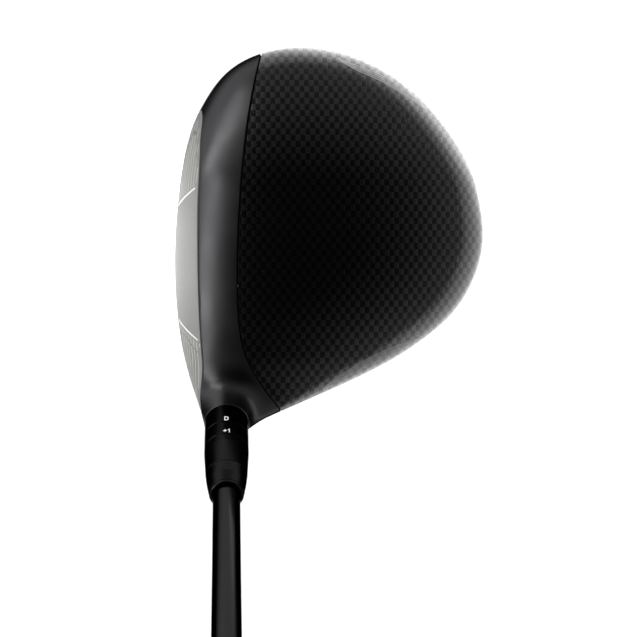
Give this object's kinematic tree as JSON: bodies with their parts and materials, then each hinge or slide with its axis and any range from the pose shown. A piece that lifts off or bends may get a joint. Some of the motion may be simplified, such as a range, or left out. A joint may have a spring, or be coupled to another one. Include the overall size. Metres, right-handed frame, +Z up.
{
  "type": "golf driver",
  "caption": "Right-handed golf driver with a hollow carbon-crowned head, an adjustable hosel sleeve, a long tapered shaft and a rubber grip.",
  "frame": {"origin": "on the ground under the centre of the face, in the vertical plane of the shaft axis, with the club at address", "axes": "+Z up, -Y towards the target, +X from the toe to the heel and the player's side"},
  "size_m": [0.7173, 0.1119, 0.9857],
  "materials": {
    "face_titanium": "satin, vertical brushing",
    "satin_grey": "satin metallic",
    "carbon_gloss": "gloss clear coat over carbon weave",
    "black_anodised": "gloss anodised",
    "steel_part": "machined",
    "dark_steel": "satin",
    "brass_insert": "machined",
    "tungsten_grey": "satin",
    "gloss_black_plastic": "gloss",
    "shaft_lacquer": "gloss lacquer",
    "seal_rubber": "matt",
    "grip_rubber": "matt, fine texture",
    "tape_paper": "matt",
    "plug_plastic": "matt"
  },
  "bodies": {
    "head": {"face_plate": "face_titanium", "front_body": "satin_grey", "crown_panel": "carbon_gloss", "sole_panel": "carbon_gloss", "rear_weight_housing": "dark_steel", "weight_insert": "brass_insert", "screw_washer": "steel_part", "screw_retainer": "plug_plastic"},
    "adapter_screw": {"adapter_screw": "steel_part"},
    "shaft_assembly": {"adapter_sleeve": "black_anodised", "sleeve_seal": "seal_rubber", "ferrule": "gloss_black_plastic", "ferrule_ring": "gloss_black_plastic", "shaft": "shaft_lacquer", "tip_plug": "plug_plastic", "grip_tape": "tape_paper", "grip": "grip_rubber", "grip_cap": "grip_rubber"},
    "lie_cog": {"lie_cog": "black_anodised"},
    "loft_cog": {"loft_cog": "black_anodised"},
    "rear_weight": {"rear_weight": "tungsten_grey", "weight_washer": "steel_part"},
    "weight_screw": {"weight_screw": "steel_part"}
  },
  "joints": [
    {"name": "shaft_release", "type": "slide", "parent": "head", "child": "shaft_assembly", "axis": [0.5299, 0, 0.848], "range_m": [0, 0.045]},
    {"name": "lie_cog_turn", "type": "hinge", "parent": "shaft_assembly", "child": "lie_cog", "pos_m": [0.06378, 0, 0.06191], "axis": [0.5299, 0, 0.848], "continuous": true},
    {"name": "loft_cog_turn", "type": "hinge", "parent": "shaft_assembly", "child": "loft_cog", "pos_m": [0.06802, 0, 0.06869], "axis": [0.5299, 0, 0.848], "continuous": true},
    {"name": "adapter_screw_turn", "type": "hinge", "parent": "head", "child": "adapter_screw", "pos_m": [0.03835, 0, 0.0212], "axis": [0.5299, 0, 0.848], "continuous": true},
    {"name": "rear_weight_release", "type": "slide", "parent": "head", "child": "rear_weight", "axis": [0, 0.5446, -0.8387], "range_m": [0, 0.015]},
    {"name": "weight_screw_turn", "type": "hinge", "parent": "rear_weight", "child": "weight_screw", "pos_m": [0, 0.077, 0.0088], "axis": [0, 0.5446, -0.8387], "continuous": true}
  ]
}
